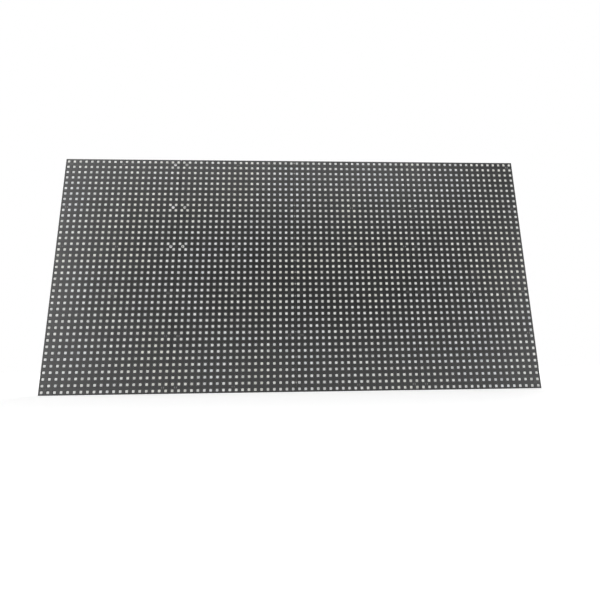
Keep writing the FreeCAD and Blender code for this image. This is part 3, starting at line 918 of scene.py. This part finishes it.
def model_small_ends(height):
    """Both tinned ends of a small part, each in its fillet of solder."""
    solder_height = 0.28
    cap_place, solder_place = 0.64, 0.93
    ends = []
    for end in (-1, 1):
        cap = add_block(0.8, height, 0.32, "cap")
        soften(cap, 0.07)
        shift(cap, z=end * cap_place)
        solder = add_block(0.9, solder_height, 0.5, "solder")
        edit(solder)
        select_faces(solder, rear_face)
        resize(0.86, 1.0, 0.35, (0.0, solder_height, 0.0))
        move(z=-end * 0.1)
        leave_edit()
        shift(solder, z=end * solder_place)
        ends += [cap, solder]
    return join(ends, "ends")


def make_small_parts():
    """A ceramic capacitor and a resistor beside each driver chip."""
    for name, height, slot, material, node, side in (
        ("capacitor", 0.8, "ceramic_capacitor", CERAMIC, "ceramic_capacitors", -1),
        ("resistor", 0.45, "resistor_ceramic", RESISTOR, "current_resistors", 1),
    ):
        places = beside_drivers(side)
        body = add_block(0.74, height - 0.03, 1.0, "body")
        soften(body, 0.05)
        ends = model_small_ends(height)
        dress(spread(body, f"{name}_bodies", places), slot, material, node)
        dress(spread(ends, f"{name}_ends", places), "lead_tin", TIN)


def model_outline(width, height, dot):
    """A printed rectangle, with a round dot outside pin one's corner if it has one."""
    line, ink = 0.15, 0.02
    bars = []
    for side in (-1, 1):
        level_bar = (width + line, line, 0.0, side * height / 2)
        upright_bar = (line, height - line - 0.02, side * width / 2, 0.0)
        for wide, high, x, z in (level_bar, upright_bar):
            bar = add_block(wide, ink, high, "printed_bar")
            shift(bar, x=x, z=z)
            bars.append(bar)
    if dot:
        bars.append(add_disc(12, 0.3, ink, width / 2 + 0.55, ink / 2, height / 2 - 0.3, "dot"))
    return join(bars, "outline")


def make_board_marks():
    """White printed outlines round the parts on the rear of the board. They hold no lettering."""
    kinds = (
        (9.5, 7.8, True, DRIVER_PLACES),
        (10.8, 7.8, True, ROW_DRIVER_PLACES),
        (7.4, 8.3, True, BUFFER_PLACES),
        (1.7, 3.0, False, beside_drivers(-1)),
        (1.7, 3.0, False, beside_drivers(1)),
        (9.6, 28.8, True, [(x, BOARD_REAR, 0.0) for x in (HEADER_X, -HEADER_X)]),
        (9.4, 17.0, True, [(POWER_X, BOARD_REAR, 0.0)]),
        (7.8, 7.8, True, [(CAPACITOR_X, BOARD_REAR, z) for z in CAPACITOR_HEIGHTS]),
    )
    marks = [
        spread(model_outline(wide, high, dot), "mark", places)
        for wide, high, dot, places in kinds
    ]
    dress(join(marks, "board_outlines"), "circuit_board", INK)


def model_fan_out(pitch, count, start):
    """Tracks that leave every pad of a chip, by turns short and long, each with its via."""
    tracks = []
    for odd in (0, 1):
        reach = 1.1 + 0.9 * odd
        x = (odd - (count - 1) / 2) * pitch
        track = add_block(TRACK_WIDTH, TRACK_HEIGHT, reach, "track")
        shift(track, x=x, z=start + reach / 2)
        end = start + reach + 0.2
        via = add_disc(8, VIA_RADIUS, VIA_HEIGHT, x, VIA_HEIGHT / 2, end, "via")
        edit(via)
        select_faces(via, rear_face)
        inset(0.13, -0.03)
        leave_edit()
        track = join([track, via], "track")
        repeat(track, count // 2, x=2 * pitch)
        tracks.append(track)
    return both_sides(join(tracks, "tracks"), "fan_out")


def make_fan_outs():
    fans = [
        spread(model_fan_out(pitch, count, width / 2 + 1.5), "fan", places)
        for _, _, width, _, pitch, count, places in CHIP_KINDS
    ]
    dress(join(fans, "fan_out_tracks"), "circuit_board", TRACK)


SCREW_HEAD_RADIUS = 1.9
SCREW_HEAD_HEIGHT = 1.4
SCREW_SHANK_RADIUS = 0.75
SCREW_SHANK_LENGTH = 6.2
SCREW_SEAT = -7.0
RECESS_LENGTH = 2.1
RECESS_WIDTH = 0.5
RECESS_FLOOR = 0.62


def make_screws():
    """Pan-head screws with a cross recess, in their seats."""
    screw = add_disc(
        32, SCREW_HEAD_RADIUS, SCREW_HEAD_HEIGHT, 0.0, SCREW_HEAD_HEIGHT / 2, 0.0, "screw"
    )
    edit(screw)
    select_faces(screw, rear_face)
    bevel(0.55, 4)
    select_faces(screw, front_face)
    inset(SCREW_HEAD_RADIUS - SCREW_SHANK_RADIUS)
    extrude(y=-SCREW_SHANK_LENGTH)
    leave_edit()
    for width, height in ((RECESS_LENGTH, RECESS_WIDTH), (RECESS_WIDTH, RECESS_LENGTH)):
        blade = add_block(width, 1.2, height, "blade")
        edit(blade)
        select_faces(blade, front_face)
        resize(0.45, 1.0, 0.45)
        select_all()
        move(y=RECESS_FLOOR)
        leave_edit()
        cut_out(screw, blade)
    edit(screw)
    clear_flats()
    leave_edit()
    smooth(screw)
    places = []
    for centre in BLOCK_CENTRES:
        for side, height in ((-36.0, 44.0), (36.0, 44.0), (0.0, 76.0)):
            for sign in (-1, 1):
                turn = 0.4 * (len(places) % 5)
                places.append((centre + side, SCREW_SEAT, sign * height, turn))
    dress(spread(screw, "mask_screw_heads", places), "screw_steel", STEEL, "mask_screws")


INSERT_RADIUS = 3.0
INSERT_DEPTH = 8.0
THREAD_ROOT = 1.95
THREAD_CREST = 1.65


def make_inserts():
    """Brass inserts with a chamfered mouth and thread ridges down the bore."""
    insert = add_ring(32, INSERT_RADIUS, -INSERT_DEPTH, "NOTHING", "insert")
    edit(insert)
    select_all()
    bpy.ops.mesh.select_mode(type="EDGE")
    mouth = [(INSERT_RADIUS, 7.95), (2.92, 0.05), (2.1, 0.0), (THREAD_CREST, -0.45)]
    thread = [(THREAD_ROOT, -0.35), (THREAD_CREST, -0.35)] * 10
    end = [(THREAD_CREST, -0.55), (INSERT_RADIUS, 0.0)]
    raise_rings(INSERT_RADIUS, mouth + thread + end)
    select_all()
    join_doubles()
    face_outwards()
    leave_edit()
    smooth(insert, 35)
    places = [(x, 0.0, z) for x in (-152.0, 0.0, 152.0) for z in (-72.0, 72.0)]
    dress(spread(insert, "threaded_inserts", places), "insert_brass", BRASS, "mounting_inserts")


def model_pin(size, length, taper):
    """A square pin with a tapered tip."""
    pin = add_block(size, length, size, "pin")
    edit(pin)
    select_faces(pin, rear_face)
    move(y=-taper)
    extrude(y=taper)
    resize(0.45, 1.0, 0.45)
    leave_edit()
    return pin


def make_pins():
    rows = step_places(PIN_STEP, 2)
    columns = step_places(PIN_STEP, 8)
    for name, header_x in (("data_input", HEADER_X), ("data_output", -HEADER_X)):
        places = [(x + header_x, BOARD_REAR, z) for x in rows for z in columns]
        pins = spread(model_pin(0.64, 8.3, 0.5), f"{name}_contacts", places)
        dress(pins, "pin_metal", GOLD, f"{name}_pins")
    places = [(POWER_X, BOARD_REAR, z) for z in step_places(POWER_PIN_STEP, 4)]
    pins = spread(model_pin(1.14, 8.2, 0.8), "power_contacts", places)
    dress(pins, "pin_metal", TIN, "power_pins")


BASE_SIZE = 6.6
BASE_HEIGHT = 1.15
CAN_FOOT_RADIUS = 2.9
# Radius and rise of each next ring: wall, crimped groove, wall, rolled edge, sunk top
CAN_RINGS = (
    (3.15, 1.1), (3.15, 0.35), (2.8, 0.18), (2.8, 0.22), (3.15, 0.18),
    (3.15, 4.62), (3.05, 0.2), (2.9, 0.1), (2.55, 0.05), (2.5, -0.08),
)


def model_can():
    can = add_ring(40, CAN_FOOT_RADIUS, 0.0, "NGON", "can")
    edit(can)
    select_all()
    raise_rings(CAN_FOOT_RADIUS, CAN_RINGS)
    face_outwards()
    leave_edit()
    smooth(can, 40)
    return can


def model_can_base():
    """The black base plate, with both corners on one side cut off."""
    base = add_block(BASE_SIZE, BASE_HEIGHT, BASE_SIZE, "base")
    edit(base)
    select_points(base, lambda p: p.x > 0)
    bevel(1.3, 1)
    leave_edit()
    soften(base, 0.12)
    return base


def make_electrolytics():
    """Aluminium cans with a crimped groove and a dark polarity mark, on black bases."""
    for number, z in enumerate(CAPACITOR_HEIGHTS, start=1):
        places = [(CAPACITOR_X, BOARD_REAR, z)]
        can = spread(model_can(), f"capacitor_can_{number}", places)
        dress(can, "capacitor_can", CAN, f"electrolytic_capacitor_{number}")
        base = spread(model_can_base(), f"capacitor_base_{number}", places)
        dress(base, "header_plastic", HEADER)


# Finish and edge softening of the nodes that are shown as the CAD made them
CAD_FINISHES = {
    "circuit_board": (BOARD, None),
    "rear_frame": (FRAME, 0.2),
    "data_input_housing": (HEADER, 0.15),
    "data_output_housing": (HEADER, 0.15),
    "power_housing": (NYLON, 0.18),
}


def finish_cad_nodes():
    for name, (material, edge) in CAD_FINISHES.items():
        item = frame["nodes"][name]
        item.data.materials.clear()
        item.data.materials.append(material)
        if edge:
            corners = item.modifiers.new("JoinedCorners", "WELD")
            corners.merge_threshold = 0.001 * MM
            edges = item.modifiers.new("SoftEdges", "BEVEL")
            edges.width = edge * MM
            edges.segments = 2
            edges.limit_method = "ANGLE"
            edges.angle_limit = math.radians(40)


# Stage, lights and camera


def make_stage():
    """A pale floor under the module's lower edge."""
    bpy.ops.mesh.primitive_plane_add(size=9.0, location=(0, 0, -MODULE_HEIGHT / 2 * MM))
    floor = bpy.context.active_object
    floor.name = "studio_floor"
    finish = Finish("floor_paint")
    finish.set(Base_Color=(0.86, 0.86, 0.86, 1.0), Roughness=0.9, Specular_IOR_Level=0.1)
    path = finish.add("ShaderNodeLightPath").outputs
    glow = finish.add("ShaderNodeEmission")
    glow.inputs["Color"].default_value = (1.0, 1.0, 1.0, 1.0)
    away = finish.add("ShaderNodeVectorMath", operation="LENGTH")
    finish.feed(away.inputs[0], finish.place)
    far = finish.remap(away.outputs["Value"], 0.5, 1.8, 0.42, 0.9)
    seen = finish.math("MULTIPLY", path["Is Camera Ray"], far)
    finish.feed(glow.inputs["Strength"], finish.math("ADD", path["Is Glossy Ray"], seen))
    both = finish.add("ShaderNodeAddShader")
    finish.feed(both.inputs[0], finish.shader.outputs[0])
    finish.feed(both.inputs[1], glow.outputs[0])
    output = next(node for node in finish.tree.nodes if node.type == "OUTPUT_MATERIAL")
    finish.feed(output.inputs["Surface"], both.outputs[0])
    floor.data.materials.append(finish.material)


def make_world():
    """White all round. What the module mirrors is dimmer ahead of its LED face and behind it."""
    world = bpy.data.worlds.new("studio")
    bpy.context.scene.world = world
    world.use_nodes = True
    studio = Nodes(world.node_tree)
    background = studio.tree.nodes["Background"]
    background.inputs["Color"].default_value = (1.0, 1.0, 1.0, 1.0)
    path = studio.add("ShaderNodeLightPath").outputs
    seen = studio.math("MAXIMUM", path["Is Camera Ray"], path["Is Transmission Ray"])
    direction = studio.add("ShaderNodeTexCoord").outputs["Generated"]
    facing = studio.add("ShaderNodeVectorMath", operation="DOT_PRODUCT")
    facing.inputs[1].default_value = DIM_DIRECTION
    studio.feed(facing.inputs[0], direction)
    ahead = facing.outputs["Value"]
    front = studio.remap(ahead, 0.55, 0.98, 1.2, 0.05, interpolation_type="SMOOTHSTEP")
    rear = studio.remap(ahead, -0.7, 0.1, 0.38, 1.0, interpolation_type="SMOOTHSTEP")
    plain_light = 0.4
    mirrored = studio.math("SUBTRACT", studio.math("MULTIPLY", front, rear), plain_light)
    light = studio.math("MULTIPLY_ADD", path["Is Glossy Ray"], mirrored, plain_light)
    studio.feed(background.inputs["Strength"], studio.remap(seen, 0.0, 1.0, light, 1.0))


def add_lamp(name, place, width, height, watts):
    """A soft rectangular lamp that points at the module's origin."""
    lamp = bpy.data.lights.new(name, "AREA")
    lamp.shape = "RECTANGLE"
    lamp.size = width
    lamp.size_y = height
    lamp.energy = watts
    holder = bpy.data.objects.new(name, lamp)
    bpy.context.collection.objects.link(holder)
    holder.location = place
    holder.rotation_mode = "QUATERNION"
    holder.rotation_quaternion = (-Vector(place)).to_track_quat("-Z", "Y")


def make_lamps():
    add_lamp("key_lamp", (-0.35, -1.35, 1.05), 2.6, 0.5, 13.0)
    add_lamp("side_lamp", (-1.25, -1.25, 0.30), 0.6, 0.9, 8.0)
    add_lamp("fill_lamp", (1.30, -1.15, 0.15), 0.6, 0.9, 6.0)
    add_lamp("rear_lamp", (0.40, 1.00, 0.80), 1.0, 1.0, 8.0)


def make_camera():
    """Close in front of the lower edge, tilted up at the LED face."""
    camera = bpy.data.cameras.new("camera")
    camera.sensor_width = 36.0
    camera.lens = 26.134
    camera.shift_x = -0.0009
    camera.shift_y = -0.0584
    camera.clip_start = 0.01
    camera.clip_end = 20.0
    holder = bpy.data.objects.new("camera", camera)
    bpy.context.collection.objects.link(holder)
    place = Vector((-0.01018, -0.30179, -0.06563))
    right = Vector((0.99890, -0.04514, -0.01268))
    up = Vector((0.00184, -0.23238, 0.97262))
    forward = Vector((0.04685, 0.97158, 0.23204))
    turn = Matrix((right, up, -forward)).transposed()
    holder.matrix_world = Matrix.Translation(place) @ turn.to_4x4()
    bpy.context.scene.camera = holder


make_camera()
make_masks()
make_post_ends()
make_leds()
make_chips()
make_small_parts()
make_board_marks()
make_fan_outs()
make_screws()
make_inserts()
make_pins()
make_electrolytics()
finish_cad_nodes()
make_stage()
make_world()
make_lamps()
bpy.context.scene.view_settings.view_transform = "Standard"
